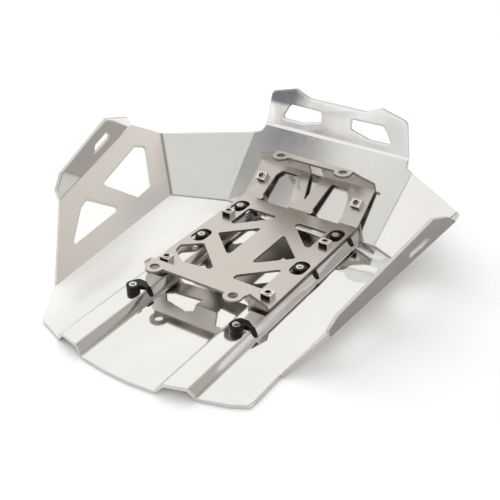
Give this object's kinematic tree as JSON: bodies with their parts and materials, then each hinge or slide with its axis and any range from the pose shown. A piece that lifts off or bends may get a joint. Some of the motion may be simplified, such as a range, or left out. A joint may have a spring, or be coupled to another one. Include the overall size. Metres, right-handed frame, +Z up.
{
  "type": "motorcycle skid plate",
  "caption": "Folded sheet pan with upturned wings, ribbed floor and upright front shield, carrying a windowed engine bracket on rubber mounts",
  "frame": {"origin": "on the underside of the flat floor, between the two ribs, midway along the pan", "axes": "+X to the side, along the greatest width; +Y to the front shield; +Z up, away from the ground"},
  "size_m": [0.475, 0.4651, 0.1414],
  "materials": {
    "aluminium": "satin polished sheet, near mirror",
    "stainless": "warm grey brushed stainless sheet",
    "spring_steel": "bright plated spring steel",
    "zinc_steel": "bright zinc plated steel",
    "rubber": "black moulded rubber"
  },
  "bodies": {
    "root": {"tray": "aluminium", "front_guard": "aluminium", "engine_bracket": "stainless", "cage_1": "spring_steel", "cage_2": "spring_steel", "cage_3": "spring_steel", "cage_4": "spring_steel", "cage_5": "spring_steel", "cage_6": "spring_steel", "nut_1": "zinc_steel", "nut_2": "zinc_steel", "nut_3": "zinc_steel", "nut_4": "zinc_steel", "nut_5": "zinc_steel", "nut_6": "zinc_steel", "mount_1": "rubber", "mount_2": "rubber", "mount_3": "rubber", "mount_4": "rubber", "mount_5": "rubber", "mount_6": "rubber", "insert_1": "zinc_steel", "insert_2": "zinc_steel", "insert_3": "zinc_steel", "insert_4": "zinc_steel", "insert_5": "zinc_steel", "insert_6": "zinc_steel"}
  },
  "joints": []
}
